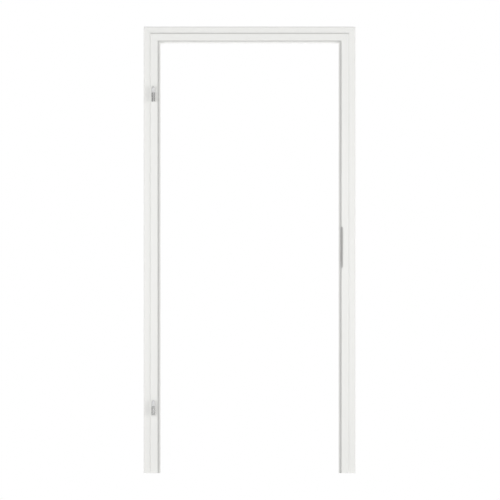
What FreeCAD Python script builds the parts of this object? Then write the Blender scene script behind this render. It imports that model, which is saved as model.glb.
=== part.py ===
"""Wrap-round door frame: lining, rebated front casing, adjustable back casing,
seals, two hinge halves and a strike plate. Millimetres, +Z up, hinges at -X,
the rebate side faces -Y, and the origin is on the floor under the middle of the frame."""

import FreeCAD, Part
import Sketcher
import math
import os
import re

Vector = FreeCAD.Vector
Rotation = FreeCAD.Rotation

# Driving sizes. A section is measured outwards from the clear opening and back from the front face.
SIZES = {
    # Opening and wall
    "clearWidth": 815,
    "clearHeight": 1966,
    "wallThickness": 145,
    # Rebate that the door leaf closes into
    "stopWidth": 12.5,
    "rebateDepth": 25.5,
    # Lining board
    "liningThickness": 22,
    "liningEdgeRadius": 1.5,
    "jointTongueInset": 2.25,
    "jointTongueDepth": 5,
    # Casings, front and back, with a rounded step between an outer and an inner zone
    "casingWidth": 64,
    "backCasingThickness": 19,
    "backReveal": 6.5,
    "outerZone": 24.5,
    "stepDepth": 5,
    "coveRadius": 8,
    "shoulderRadius": 3,
    "outerEdgeRadius": 3,
    "rebateEdgeRadius": 1,
    # Feather that guides the back casing in the lining, and its travel
    "featherThickness": 6,
    "featherFromReveal": 9,
    "featherSeat": 8,
    "featherClearance": 0.2,
    "featherTipRadius": 1.5,
    "travelIn": 5,
    "travelOut": 15,
    "featherHold": 14,
    "endGap": 0.5,
    # Seal in the stop
    "sealGrooveInset": 6,
    "sealGrooveWidth": 3,
    "sealGrooveDepth": 6,
    "sealFootGap": 1,
    "sealInset": 5.5,
    "sealSideGap": 0.3,
    "sealHeight": 7,
    "sealFlat": 1.1,
    "sealWall": 1.65,
    # Hinge halves on the left jamb
    "hingeDrop": 237,
    "lowerHingeRise": 306.5,
    "hingeFromRebate": 20.2,
    "knuckleRadius": 8.5,
    "knuckleHeight": 41.5,
    "knuckleGap": 1,
    "knuckleChamfer": 0.8,
    "pinRadius": 4,
    "knuckleFloor": 6.5,
    "pinChamfer": 0.8,
    "bushRadius": 7,
    "bushHeight": 28.5,
    "bushNoseHeight": 9,
    "bushTipHeight": 3.5,
    "bushShoulderInset": 1.6,
    "bushTipInset": 4.8,
    "bushRoof": 6.2,
    "bushCollarRim": 0.8,
    "bushCollarHeight": 2,
    "bushClearance": 0.08,
    "bushGap": 0.3,
    "supportRadius": 4,
    "supportSpacing": 26,
    "supportFloor": 2.5,
    "supportClearance": 0.3,
    # Receiver in the back of the left casing
    "receiverWidth": 20,
    "receiverFromFace": 10.5,
    "receiverHeight": 60,
    "flangeEar": 22,
    "flangeThickness": 3,
    "pocketClearance": 0.25,
    "clampRadius": 3,
    "clampDepth": 16,
    "clampLength": 8,
    "clampAccessRadius": 3.5,
    # Wood screws
    "screwRadius": 2,
    "screwHeadRadius": 4,
    "screwHeadHeight": 2,
    "screwLength": 30,
    "shortScrewLength": 12,
    "pilotEnd": 0.5,
    "fitGap": 0.1,
    # Strike plate on the right jamb
    "strikeCentre": 1033.5,
    "strikeTopEnd": 37.5,
    "strikeBottomEnd": 31.5,
    "strikeThickness": 2,
    "strikeLip": 8.5,
    "strikeFromStop": 2.5,
    "strikeLipRadius": 7,
    "strikeLegRadius": 3,
    "strikeScrewInset": 15.5,
    "latchCentre": 34,
    "latchHeight": 44,
    "boltCentre": -38,
    "boltHeight": 48,
    "keepFromFace": 6,
    "keepMargin": 4,
    "keepDepth": 20,
    "keepRadius": 2,
    # Mitre hardware
    "dowelRadius": 4,
    "dowelLength": 18,
    "dowelFront": 34,
    "dowelFromGroove": 14.5,
    "dowelEndGap": 0.5,
    "drawOffset": 15,
    "drawDepth": 7,
    "drawRadius": 3,
    "drawHeadRadius": 5,
    "drawHeadLength": 5,
    "drawClearance": 0.5,
    "barrelRadius": 7,
    "barrelLength": 12,
    "anglePlateWidth": 16,
    "anglePlateLeg": 62,
    "anglePlateThickness": 2,
    "anglePlateCentre": 44,
    "angleScrewInset": 12,
}

document = FreeCAD.newDocument("DoorFrame")
sheet = document.addObject("Spreadsheet::Sheet", "Sizes")
for row, (alias, value) in enumerate(SIZES.items(), start=1):
    sheet.set(f"A{row}", alias)
    sheet.set(f"B{row}", str(value))
    sheet.setAlias(f"B{row}", alias)
document.recompute()

ALIASES = re.compile(r"\b(" + "|".join(SIZES) + r")\b")

# Places that several pieces share, as formulas of the sizes
HALF = "(clearWidth / 2)"
CASING_IN = "stopWidth"
CASING_OUT = "(stopWidth + casingWidth)"
WALL_BACK = "(rebateDepth + wallThickness)"
FRAME_DEPTH = f"({WALL_BACK} + backCasingThickness)"
HINGE_OUT = "(knuckleGap + 2 * knuckleRadius)"
FACE = f"(({HINGE_OUT} - {FRAME_DEPTH}) / 2)"
STEP_COSINE = "(1 - stepDepth / (coveRadius + shoulderRadius))"
STEP_SINE = f"sqrt(1 - {STEP_COSINE}^2)"
STEP_FOOT = f"({CASING_OUT} - outerZone)"
STEP_JOIN = f"({STEP_FOOT} - coveRadius * {STEP_SINE})"
STEP_TOP = f"({STEP_FOOT} - (coveRadius + shoulderRadius) * {STEP_SINE})"
FEATHER_OUT = "(featherFromReveal + featherThickness)"
FEATHER_REACH = "(travelIn + endGap + travelOut + featherHold)"
LINING_BACK = f"({WALL_BACK} - travelIn - endGap)"
GROOVE_DEPTH = "(travelIn + travelOut + featherHold + 2 * endGap)"
HINGE_X = f"(-({HALF} + stopWidth + hingeFromRebate))"
HINGE_Y = f"({FACE} - knuckleGap - knuckleRadius)"
HINGES = {"upper": "(clearHeight + stopWidth - hingeDrop)", "lower": "lowerHingeRise"}
PIN_SEAT = "(knuckleHeight - knuckleFloor)"
PIN_RISE = "(bushHeight - bushGap - bushRoof)"
SUPPORT_REACH = "(rebateDepth - supportFloor)"
FLANGE_HEIGHT = "(receiverHeight + 2 * flangeEar)"
FLANGE_SCREW = "((receiverHeight + flangeEar) / 2)"
STRIKE_LEG = "(rebateDepth - strikeFromStop)"
KEEP_WIDTH = f"({STRIKE_LEG} - keepFromFace - keepMargin)"
KEEPS = {"latch": ("latchCentre", "latchHeight"), "bolt": ("boltCentre", "boltHeight")}
STRIKE_TOP = "(latchCentre + latchHeight / 2 + strikeTopEnd)"
STRIKE_BOTTOM = "(boltCentre - boltHeight / 2 - strikeBottomEnd)"
SUPPORT_ROOT = "((2 * pinRadius + knuckleRadius) / 3)"
SIDES = {"left": "-1", "right": "1"}
ROOT_HALF = f"{math.sqrt(0.5):.6f}"
ROOT_TWO = f"{math.sqrt(2):.6f}"

# How far a cutting tool reaches past the face that it enters, and the least volume that counts as cut
PAST = 1
LEAST_CUT = 1e-3


def formula(text):
    """The formula as the document's expressions spell it."""
    return ALIASES.sub(r"Sizes.\1", str(text))


def number(text):
    """What a formula gives with the present sizes."""
    return float(sheet.evalExpression(formula(text)))


def bind(item, prop, text):
    item.setExpression(prop, formula(text))


def place(item, x, y, z, rotation=None):
    """Sets a placement whose position follows the sizes."""
    item.Placement = FreeCAD.Placement(Vector(number(x), number(y), number(z)), rotation or Rotation())
    for axis, text in zip("xyz", (x, y, z)):
        bind(item, f"Placement.Base.{axis}", text)
    return item


# Sketching


def sign(value):
    return (value > 1e-9) - (value < -1e-9)


def sketch_on(body, name, plane, offset="0"):
    """An empty sketch on one of the body's own planes, moved along the plane's normal."""
    sketch = body.newObject("Sketcher::SketchObject", name)
    support = next(f for f in body.Origin.OriginFeatures if f.Role == plane)
    sketch.AttachmentSupport = [(support, "")]
    sketch.MapMode = "FlatFace"
    sketch.AttachmentOffset = FreeCAD.Placement(Vector(0, 0, number(offset)), Rotation())
    bind(sketch, "AttachmentOffset.Base.z", offset)
    return sketch


def expand(corners):
    """Turns each rounded corner (x, y, radius) into the two ends of its arc."""
    values = [(number(corner[0]), number(corner[1])) for corner in corners]
    points, arcs = [], {}
    for index, corner in enumerate(corners):
        x, y = corner[:2]
        if len(corner) == 2:
            points.append((x, y))
        elif len(corner) == 4:
            arcs[len(points)] = corner[2:]
            points.append((x, y))
        else:
            before, here, after = values[index - 1], values[index], values[(index + 1) % len(values)]
            came = [sign(here[k] - before[k]) for k in (0, 1)]
            goes = [sign(after[k] - here[k]) for k in (0, 1)]
            arcs[len(points)] = (corner[2], came[0] * goes[1] - came[1] * goes[0])
            points.append((f"{x} - {came[0]} * ({corner[2]})", f"{y} - {came[1]} * ({corner[2]})"))
            points.append((f"{x} + {goes[0]} * ({corner[2]})", f"{y} + {goes[1]} * ({corner[2]})"))
    return points, arcs


def arc_between(start, end, radius, turn):
    """The short arc from start to end: anticlockwise for turn 1, clockwise for -1."""
    if turn < 0:
        start, end = end, start
    chord = end - start
    rise = math.sqrt(max(radius**2 - chord.Length**2 / 4, 0))
    centre = (start + end) / 2 + Vector(-chord.y, chord.x) / chord.Length * rise
    first = math.atan2(start.y - centre.y, start.x - centre.x)
    last = math.atan2(end.y - centre.y, end.x - centre.x)
    if last < first:
        last += 2 * math.pi
    return Part.ArcOfCircle(Part.Circle(centre, Vector(0, 0, 1), radius), first, last)


def fix(sketch, kind, *args, text):
    """Adds a sketch dimension whose value is a formula."""
    index = sketch.addConstraint(Sketcher.Constraint(kind, *args, number(text)))
    bind(sketch, f"Constraints[{index}]", text)


def outline(sketch, corners):
    """A closed outline. A corner is (x, y), (x, y, radius) when rounded, or
    (x, y, radius, turn) where an arc leaves it for the next corner."""
    points, arcs = expand(corners)
    places = [Vector(number(x), number(y)) for x, y in points]
    ends = []
    for index, start in enumerate(places):
        finish = places[(index + 1) % len(places)]
        if index in arcs:
            radius, turn = arcs[index]
            piece = sketch.addGeometry(arc_between(start, finish, number(radius), turn))
            fix(sketch, "Radius", piece, text=radius)
            ends.append((piece, 1, 2) if turn > 0 else (piece, 2, 1))
        else:
            piece = sketch.addGeometry(Part.LineSegment(start, finish))
            ends.append((piece, 1, 2))
    for index, (piece, first, last) in enumerate(ends):
        after = ends[(index + 1) % len(ends)]
        sketch.addConstraint(Sketcher.Constraint("Coincident", piece, last, after[0], after[1]))
        fix(sketch, "DistanceX", -1, 1, piece, first, text=points[index][0])
        fix(sketch, "DistanceY", -1, 1, piece, first, text=points[index][1])


def ring(sketch, x, y, radius):
    """A circle in a sketch."""
    circle = sketch.addGeometry(Part.Circle(Vector(number(x), number(y)), Vector(0, 0, 1), number(radius)))
    fix(sketch, "Radius", circle, text=radius)
    fix(sketch, "DistanceX", -1, 1, circle, 3, text=x)
    fix(sketch, "DistanceY", -1, 1, circle, 3, text=y)


def rectangle(low_x, low_y, high_x, high_y):
    return [(low_x, low_y), (high_x, low_y), (high_x, high_y), (low_x, high_y)]


# Features of a body


def new_body(label):
    body = document.addObject("PartDesign::Body", label)
    body.Label = label
    return body


def pad(body, sketch, length, backwards=False):
    feature = body.newObject("PartDesign::Pad", sketch.Name + "_pad")
    feature.Profile = sketch
    feature.Reversed = backwards
    bind(feature, "Length", length)
    document.recompute()
    return feature


def pocket(body, sketch, length, backwards=False):
    """A pocket, which has to take something away."""
    before = body.Shape.Volume
    feature = body.newObject("PartDesign::Pocket", sketch.Name + "_pocket")
    feature.Profile = sketch
    feature.Reversed = backwards
    bind(feature, "Length", length)
    document.recompute()
    if body.Shape.Volume > before - LEAST_CUT:
        raise RuntimeError(f"{feature.Name} cuts nothing")
    return feature


def turned(label, corners):
    """A body turned about its own Z axis from an outline of (radius, height) corners."""
    body = new_body(label)
    sketch = sketch_on(body, label + "_profile", "XZ_Plane")
    outline(sketch, corners)
    feature = body.newObject("PartDesign::Revolution", label + "_turn")
    feature.Profile = sketch
    feature.ReferenceAxis = (sketch, ["V_Axis"])
    feature.Angle = 360
    document.recompute()
    return body


# Plain tools and booleans

ALONG = {
    "z": Rotation(),
    "-z": Rotation(Vector(1, 0, 0), 180),
    "x": Rotation(Vector(0, 1, 0), 90),
    "-x": Rotation(Vector(0, 1, 0), -90),
    "y": Rotation(Vector(1, 0, 0), -90),
    "-y": Rotation(Vector(1, 0, 0), 90),
}


def box(name, low, high):
    block = document.addObject("Part::Box", name)
    for side, first, last in zip(("Length", "Width", "Height"), low, high):
        bind(block, side, f"({last}) - ({first})")
    return place(block, *low)


def rod(name, start, along, length, radius):
    """A cylinder from a start point along a named or given direction."""
    cylinder = document.addObject("Part::Cylinder", name)
    bind(cylinder, "Radius", radius)
    bind(cylinder, "Height", length)
    return place(cylinder, *start, ALONG[along] if isinstance(along, str) else along)


def cone(name, start, along, length, first, last):
    taper = document.addObject("Part::Cone", name)
    bind(taper, "Radius1", first)
    bind(taper, "Radius2", last)
    bind(taper, "Height", length)
    return place(taper, *start, ALONG[along])


def fuse(label, pieces):
    joined = document.addObject("Part::MultiFuse", label)
    joined.Label = label
    joined.Shapes = pieces
    joined.Refine = True
    document.recompute()
    return joined


def cut(label, base, tools):
    """The base less all the tools, each of which has to reach it."""
    for tool in tools:
        document.recompute()
        if base.Shape.common(tool.Shape).Volume < LEAST_CUT:
            raise RuntimeError(f"{tool.Name} cuts nothing of {base.Name}")
    tool = tools[0] if len(tools) == 1 else fuse(label + "_tools", tools)
    result = document.addObject("Part::Cut", label)
    result.Label = label
    result.Base = base
    result.Tool = tool
    document.recompute()
    return result


def group(label, pieces):
    """Like pieces in one part, as separate solids."""
    together = document.addObject("Part::Compound", label)
    together.Label = label
    together.Links = pieces
    return together


# Frame members: a section swept along a jamb or the head, mitred at the corners


def member(label, where, section, low, high, hole=None):
    """One mitred length. Section corners are (outwards, back, ...); low and high bound it outwards."""
    body = new_body(label)
    if where == "head":
        place(body, "0", FACE, "clearHeight")
        sketch = sketch_on(body, label + "_section", "YZ_Plane", f"-({HALF} + {high})")
        outline(sketch, [turn_over(corner, corner[1], corner[0]) for corner in section])
        if hole:
            ring(sketch, hole[1], hole[0], hole[2])
        pad(body, sketch, f"2 * ({HALF} + {high})")
        mitre = sketch_on(body, label + "_mitre", "XZ_Plane")
        for side in SIDES.values():
            mitre_triangle(mitre, f"{side} * ({HALF} + ", low, high, "0", mirrored=True)
    else:
        side = SIDES[where]
        place(body, f"{side} * {HALF}", FACE, "0")
        sketch = sketch_on(body, label + "_section", "XY_Plane")
        across = [(f"{side} * ({corner[0]})", *corner[1:]) for corner in section]
        if side == "-1":
            across = [turn_over(corner, corner[0], corner[1]) for corner in across]
        outline(sketch, across)
        if hole:
            ring(sketch, f"{side} * ({hole[0]})", hole[1], hole[2])
        pad(body, sketch, f"clearHeight + {high}")
        mitre = sketch_on(body, label + "_mitre", "XZ_Plane")
        mitre_triangle(mitre, f"{side} * (", low, high, "clearHeight")
    pocket(body, mitre, f"{FRAME_DEPTH} + {PAST}")
    return body


def turn_over(corner, x, y):
    """A section corner at its place in a mirrored sketch: its arc turns the other way."""
    return (x, y, corner[2], -corner[3]) if len(corner) == 4 else (x, y, *corner[2:])


def mitre_triangle(sketch, across, low, high, base, mirrored=False):
    """What the 45 degree mitre takes off, a little larger than the section that it cuts."""
    near = f"({low} - {PAST})"
    far = f"({high} + {PAST})"
    first = (f"{across}{near})", f"{base} + {near}")
    last = (f"{across}{far})", f"{base} + {far}")
    third = (f"{across}{far})", f"{base} + {near}") if mirrored else (f"{across}{near})", f"{base} + {far}")
    outline(sketch, [first, last, third])


def step(back, turn):
    """The rounded step of a casing, from the inner zone's face to the outer zone, or back."""
    rise = f"shoulderRadius * (1 - {STEP_COSINE})"
    shoulder = (STEP_TOP, back, "shoulderRadius", 1)
    if turn == "outwards":
        return [
            shoulder,
            (STEP_JOIN, f"{back} + {rise}", "coveRadius", -1),
            (STEP_FOOT, f"{back} + stepDepth"),
        ]
    return [
        (STEP_FOOT, f"{back} - stepDepth", "coveRadius", -1),
        (STEP_JOIN, f"{back} - {rise}", "shoulderRadius", 1),
        (STEP_TOP, back),
    ]


TONGUE_IN = "(stopWidth + jointTongueInset)"
TONGUE_OUT = "(liningThickness - jointTongueInset)"
TONGUE_TIP = "(rebateDepth - jointTongueDepth)"

FRONT_SECTION = [
    (CASING_IN, "0", "rebateEdgeRadius"),
    *step("0", "outwards"),
    (CASING_OUT, "stepDepth", "outerEdgeRadius"),
    (CASING_OUT, "rebateDepth"),
    (TONGUE_OUT, "rebateDepth"),
    (TONGUE_OUT, TONGUE_TIP),
    (TONGUE_IN, TONGUE_TIP),
    (TONGUE_IN, "rebateDepth"),
    (CASING_IN, "rebateDepth"),
]

BACK_SECTION = [
    ("backReveal", WALL_BACK),
    ("featherFromReveal", WALL_BACK),
    ("featherFromReveal", f"{WALL_BACK} + featherSeat"),
    (FEATHER_OUT, f"{WALL_BACK} + featherSeat"),
    (FEATHER_OUT, WALL_BACK),
    (CASING_OUT, WALL_BACK),
    (CASING_OUT, f"{FRAME_DEPTH} - stepDepth", "outerEdgeRadius"),
    *step(FRAME_DEPTH, "inwards"),
    ("backReveal", FRAME_DEPTH, "rebateEdgeRadius"),
]

LINING_SECTION = [
    ("0", "rebateDepth", "liningEdgeRadius"),
    ("sealGrooveInset", "rebateDepth"),
    ("sealGrooveInset", "rebateDepth + sealGrooveDepth"),
    ("sealGrooveInset + sealGrooveWidth", "rebateDepth + sealGrooveDepth"),
    ("sealGrooveInset + sealGrooveWidth", "rebateDepth"),
    (TONGUE_IN, "rebateDepth"),
    (TONGUE_IN, TONGUE_TIP),
    (TONGUE_OUT, TONGUE_TIP),
    (TONGUE_OUT, "rebateDepth"),
    ("liningThickness", "rebateDepth"),
    ("liningThickness", LINING_BACK),
    (f"{FEATHER_OUT} + featherClearance", LINING_BACK),
    (f"{FEATHER_OUT} + featherClearance", f"{LINING_BACK} - {GROOVE_DEPTH}"),
    ("featherFromReveal - featherClearance", f"{LINING_BACK} - {GROOVE_DEPTH}"),
    ("featherFromReveal - featherClearance", LINING_BACK),
    ("0", LINING_BACK, "liningEdgeRadius"),
]

FEATHER_SECTION = [
    ("featherFromReveal", f"{WALL_BACK} - {FEATHER_REACH}", "featherTipRadius"),
    (FEATHER_OUT, f"{WALL_BACK} - {FEATHER_REACH}", "featherTipRadius"),
    (FEATHER_OUT, f"{WALL_BACK} + featherSeat"),
    ("featherFromReveal", f"{WALL_BACK} + featherSeat"),
]

SEAL_OUT = "(stopWidth - sealSideGap)"
SEAL_FOOT = "(rebateDepth + sealGrooveDepth - sealFootGap)"
SEAL_ROUND = f"(({SEAL_OUT} - sealInset - sealFlat) / 2)"

SEAL_SECTION = [
    ("sealInset", "rebateDepth - sealHeight", SEAL_ROUND),
    (SEAL_OUT, "rebateDepth - sealHeight", SEAL_ROUND),
    (SEAL_OUT, "rebateDepth"),
    ("sealGrooveInset + sealGrooveWidth", "rebateDepth"),
    ("sealGrooveInset + sealGrooveWidth", SEAL_FOOT),
    ("sealGrooveInset", SEAL_FOOT),
    ("sealGrooveInset", "rebateDepth"),
    ("sealInset", "rebateDepth"),
]
SEAL_HOLE = (
    f"(sealInset + {SEAL_OUT}) / 2",
    "rebateDepth - sealHeight / 2",
    f"({SEAL_OUT} - sealInset) / 2 - sealWall",
)


# Holes and pockets that the hardware needs in the boards


def mitre_point(side, outwards, shift):
    """X and Z of a point on a corner's mitre, shifted into the head (+) or the jamb (-)."""
    return (
        f"{side} * ({HALF} + {outwards} - ({shift}))",
        f"clearHeight + {outwards} + ({shift})",
    )


def across_mitre(side):
    """The direction square to a corner's mitre, from the jamb into the head."""
    return Rotation(Vector(0, 1, 0), -45 if side == "1" else 45)


DOWEL_PLACES = ["rebateDepth + dowelFront", f"{LINING_BACK} - {GROOVE_DEPTH} - dowelFromGroove"]


def dowel_starts(side, half):
    """Where the two dowels of a lining mitre start, half their length down in the jamb."""
    x, z = mitre_point(side, "liningThickness / 2", f"-({half}) * {ROOT_HALF}")
    return [(x, f"{FACE} + {y}", z) for y in DOWEL_PLACES]


# Places of the hardware in the boards
PILOT_DEPTH = "(shortScrewLength + pilotEnd)"
PILOT_RADIUS = "(screwRadius + fitGap)"
DRAW_MIDDLE = "(stopWidth + casingWidth / 2)"
DRAW_Y = f"{FACE} + rebateDepth - drawDepth"
DRAW_HALF = f"(drawOffset * {ROOT_TWO})"
DRAW_TAIL = f"(barrelRadius + drawHeadLength + {PAST})"
DRAW_CHANNEL = "(drawHeadRadius + drawClearance)"


def draw_pockets(name, side, shift):
    """A draw bolt's pockets in the back of one front casing: a barrel's well and a milled channel."""
    x, z = mitre_point(side, DRAW_MIDDLE, shift)
    start = (x, f"{FACE} + rebateDepth - barrelLength - 2 * pocketClearance", z)
    well = rod(f"{name}_well", start, "y", f"barrelLength + {PAST}", "barrelRadius + pocketClearance")
    x, z = mitre_point(side, DRAW_MIDDLE, f"-({DRAW_HALF} + {DRAW_TAIL}) * {ROOT_HALF}")
    channel = document.addObject("Part::Box", f"{name}_channel")
    bind(channel, "Length", f"2 * {DRAW_CHANNEL}")
    bind(channel, "Width", f"drawDepth + {DRAW_CHANNEL} + {PAST}")
    bind(channel, "Height", f"2 * ({DRAW_HALF} + {DRAW_TAIL})")
    turned_by = across_mitre(side)
    edge = turned_by.multVec(Vector(-1, 0, 0))
    place(
        channel,
        f"{x} + ({edge.x:.6f}) * {DRAW_CHANNEL}",
        f"{DRAW_Y} - {DRAW_CHANNEL}",
        f"{z} + ({edge.z:.6f}) * {DRAW_CHANNEL}",
        turned_by,
    )
    return [well, channel]


def hinge_pockets(name, height):
    """What one hinge half takes out of the left casing."""
    middle = f"{height} - knuckleHeight / 2"
    back = f"{FACE} + rebateDepth"
    wide = "(receiverWidth / 2 + pocketClearance)"
    tools = []
    for part, tall, deep in (
        ("boss", "receiverHeight", "rebateDepth - receiverFromFace"),
        ("flange", FLANGE_HEIGHT, "flangeThickness"),
    ):
        low = (
            f"{HINGE_X} - {wide}",
            f"{back} - ({deep})",
            f"{middle} - {tall} / 2 - pocketClearance",
        )
        high = (f"{HINGE_X} + {wide}", f"{back} + {PAST}", f"{middle} + {tall} / 2 + pocketClearance")
        tools.append(box(f"{name}_{part}", low, high))
    for n, sense in enumerate(("+", "-")):
        level = f"{middle} {sense} supportSpacing / 2"
        start = (HINGE_X, f"{FACE} - {PAST}", level)
        reach = f"receiverFromFace + 2 * {PAST}"
        tools.append(rod(f"{name}_support_{n}", start, "y", reach, "supportRadius + supportClearance"))
        start = (f"-({HALF} + stopWidth - {PAST})", f"{FACE} + clampDepth", level)
        reach = f"hingeFromRebate - receiverWidth / 2 + {PAST}"
        tools.append(rod(f"{name}_access_{n}", start, "-x", reach, "clampAccessRadius"))
        level = f"{middle} {sense} {FLANGE_SCREW}"
        start = (HINGE_X, back, level)
        tools.append(rod(f"{name}_pilot_{n}", start, "-y", PILOT_DEPTH, PILOT_RADIUS))
    return tools


STRIKE_X = f"({HALF} + stopWidth)"


def strike_blank(label, gap="0", past="0"):
    """The strike plate's angle without its openings, or with a gap the recess for it."""
    body = place(new_body(label), STRIKE_X, FACE, "strikeCentre")
    low = f"({STRIKE_BOTTOM} - {gap})"
    high = f"({STRIKE_TOP} + {gap})"
    lip = sketch_on(body, label + "_lip", "XZ_Plane", past)
    outline(
        lip,
        [
            ("0", low),
            (f"strikeLip + {gap}", low, "strikeLipRadius"),
            (f"strikeLip + {gap}", high, "strikeLipRadius"),
            ("0", high),
        ],
    )
    pad(body, lip, f"strikeThickness + {gap} + {past}", backwards=True)
    leg = sketch_on(body, label + "_leg", "YZ_Plane")
    outline(
        leg,
        [
            ("0", low),
            (f"{STRIKE_LEG} + {gap}", low, "strikeLegRadius"),
            (f"{STRIKE_LEG} + {gap}", high, "strikeLegRadius"),
            ("0", high),
        ],
    )
    pad(body, leg, f"strikeThickness + {gap}")
    return body


def strike_body(label):
    """The strike plate: a bent angle with rounded latch and bolt openings."""
    body = strike_blank(label)
    openings = sketch_on(body, label + "_openings", "YZ_Plane")
    for centre, tall in KEEPS.values():
        low = f"({centre} - {tall} / 2)"
        high = f"({centre} + {tall} / 2)"
        corners = rectangle("keepFromFace", low, f"keepFromFace + {KEEP_WIDTH}", high)
        outline(openings, [(*corner, "keepRadius") for corner in corners])
    pocket(body, openings, "strikeThickness", backwards=True)
    bent = body.Tip
    bend = body.newObject("PartDesign::Fillet", label + "_bend")
    along_bend = [
        f"Edge{n}"
        for n, edge in enumerate(bent.Shape.Edges, start=1)
        if all(abs(v.X) < 1e-6 and abs(v.Y) < 1e-6 for v in edge.Vertexes)
    ]
    bend.Base = (bent, along_bend)
    bind(bend, "Radius", "min(strikeThickness, rebateEdgeRadius)")
    document.recompute()
    return body


def keep_boxes(name, start, end):
    """The latch and bolt openings, as boxes from start to end outwards of the rebate side."""
    tools = []
    for part, (centre, tall) in KEEPS.items():
        low = (f"{STRIKE_X} + {start}", f"{FACE} + keepFromFace", f"strikeCentre + {centre} - {tall} / 2")
        high = (
            f"{STRIKE_X} + {end}",
            f"{FACE} + keepFromFace + {KEEP_WIDTH}",
            f"strikeCentre + {centre} + {tall} / 2",
        )
        tools.append(box(f"{name}_{part}", low, high))
    return tools


STRIKE_SCREW_Y = f"{FACE} + keepFromFace + {KEEP_WIDTH} / 2"
STRIKE_SCREW_LEVELS = [
    f"strikeCentre + {STRIKE_TOP} - strikeScrewInset",
    "strikeCentre + (latchCentre - latchHeight / 2 + boltCentre + boltHeight / 2) / 2",
    f"strikeCentre + {STRIKE_BOTTOM} + strikeScrewInset",
]

# Screws of the corner plates: two in each leg, measured along it from where the legs' middles meet
ANGLE_SCREW_SHIFTS = ["anglePlateWidth / 2 + angleScrewInset", "anglePlateLeg - angleScrewInset"]
ANGLE_Y = f"{FACE} + {WALL_BACK}"


def angle_outline(side, gap):
    """The L of a corner plate seen from the front, about the corner of the clear opening."""
    near = f"(anglePlateCentre - anglePlateWidth / 2 - {gap})"
    far = f"(anglePlateCentre + anglePlateWidth / 2 + {gap})"
    end = f"(anglePlateCentre - anglePlateLeg - {gap})"
    return [
        (f"{side} * {near}", end),
        (f"{side} * {near}", near),
        (f"{side} * {end}", near),
        (f"{side} * {end}", far),
        (f"{side} * {far}", far),
        (f"{side} * {far}", end),
    ]


def angle_plate(label, side, gap="0", past="0"):
    """A flat corner plate, or with a gap the recess for it, in the wall side of the back casing."""
    body = place(new_body(label), f"{side} * {HALF}", ANGLE_Y, "clearHeight")
    sketch = sketch_on(body, label + "_outline", "XZ_Plane", past)
    outline(sketch, angle_outline(side, gap))
    pad(body, sketch, f"anglePlateThickness + {gap} + {past}", backwards=True)
    return body


def angle_screw_places(side):
    """Where a corner plate's four screws enter."""
    places = []
    for shift in ANGLE_SCREW_SHIFTS:
        places.append(
            (f"{side} * ({HALF} + anglePlateCentre)", ANGLE_Y, f"clearHeight + anglePlateCentre - ({shift})")
        )
        places.append(
            (f"{side} * ({HALF} + anglePlateCentre - ({shift}))", ANGLE_Y, "clearHeight + anglePlateCentre")
        )
    return places


def screw(label, start, along, length):
    """A countersunk screw without its thread. It starts at its head's face."""
    head = [("0", "0"), ("screwHeadRadius", "0"), ("screwRadius", "screwHeadHeight")]
    body = turned(label, [*head, ("screwRadius", length), ("0", length)])
    return place(body, *start, ALONG[along])


def countersink(name, start, along, thickness):
    """The hole for a countersunk screw through a plate."""
    return [
        cone(f"{name}_sink", start, along, "screwHeadHeight", "screwHeadRadius + fitGap", PILOT_RADIUS),
        rod(f"{name}_hole", start, along, f"{thickness} + {PAST}", PILOT_RADIUS),
    ]


# Boards


parts = []

for where in ("left", "right", "head"):
    parts.append(member(f"seal_{where}", where, SEAL_SECTION, "sealInset", SEAL_OUT, SEAL_HOLE))
    parts.append(member(f"feather_{where}", where, FEATHER_SECTION, "featherFromReveal", FEATHER_OUT))

    board = member(f"lining_{where}_board", where, LINING_SECTION, "0", "liningThickness")
    corners = SIDES if where == "head" else {where: SIDES[where]}
    holes = []
    for corner, side in corners.items():
        for n, start in enumerate(dowel_starts(side, "dowelLength / 2 + dowelEndGap")):
            name = f"lining_{where}_dowel_{corner}_{n}"
            length = "dowelLength + 2 * dowelEndGap"
            holes.append(rod(name, start, across_mitre(side), length, "dowelRadius + fitGap"))
    parts.append(cut(f"lining_{where}", board, holes))

    casing = member(f"front_casing_{where}_board", where, FRONT_SECTION, CASING_IN, CASING_OUT)
    tools = []
    for corner, side in corners.items():
        shift = "drawOffset" if where == "head" else "-drawOffset"
        tools += draw_pockets(f"front_casing_{where}_draw_{corner}", side, shift)
    if where == "left":
        for level, height in HINGES.items():
            tools += hinge_pockets(f"hinge_pocket_{level}", height)
    if where == "right":
        tools.append(strike_blank("strike_recess", "fitGap", PAST))
        tools += keep_boxes("keep_pocket", f"-{PAST}", "keepDepth")
        for n, level in enumerate(STRIKE_SCREW_LEVELS):
            start = (STRIKE_X, STRIKE_SCREW_Y, level)
            tools.append(rod(f"strike_pilot_{n}", start, "x", "screwLength + pilotEnd", PILOT_RADIUS))
    parts.append(cut(f"front_casing_{where}", casing, tools))

    back = member(f"back_casing_{where}_board", where, BACK_SECTION, "backReveal", CASING_OUT)
    tools = []
    for corner, side in corners.items():
        tools.append(angle_plate(f"back_{where}_recess_{corner}", side, "fitGap", PAST))
        for n, start in enumerate(angle_screw_places(side)):
            in_head = n % 2 == 1
            if in_head == (where == "head"):
                name = f"back_{where}_pilot_{corner}_{n}"
                tools.append(rod(name, start, "y", PILOT_DEPTH, PILOT_RADIUS))
    parts.append(cut(f"back_casing_{where}", back, tools))


# Mitre hardware

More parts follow.
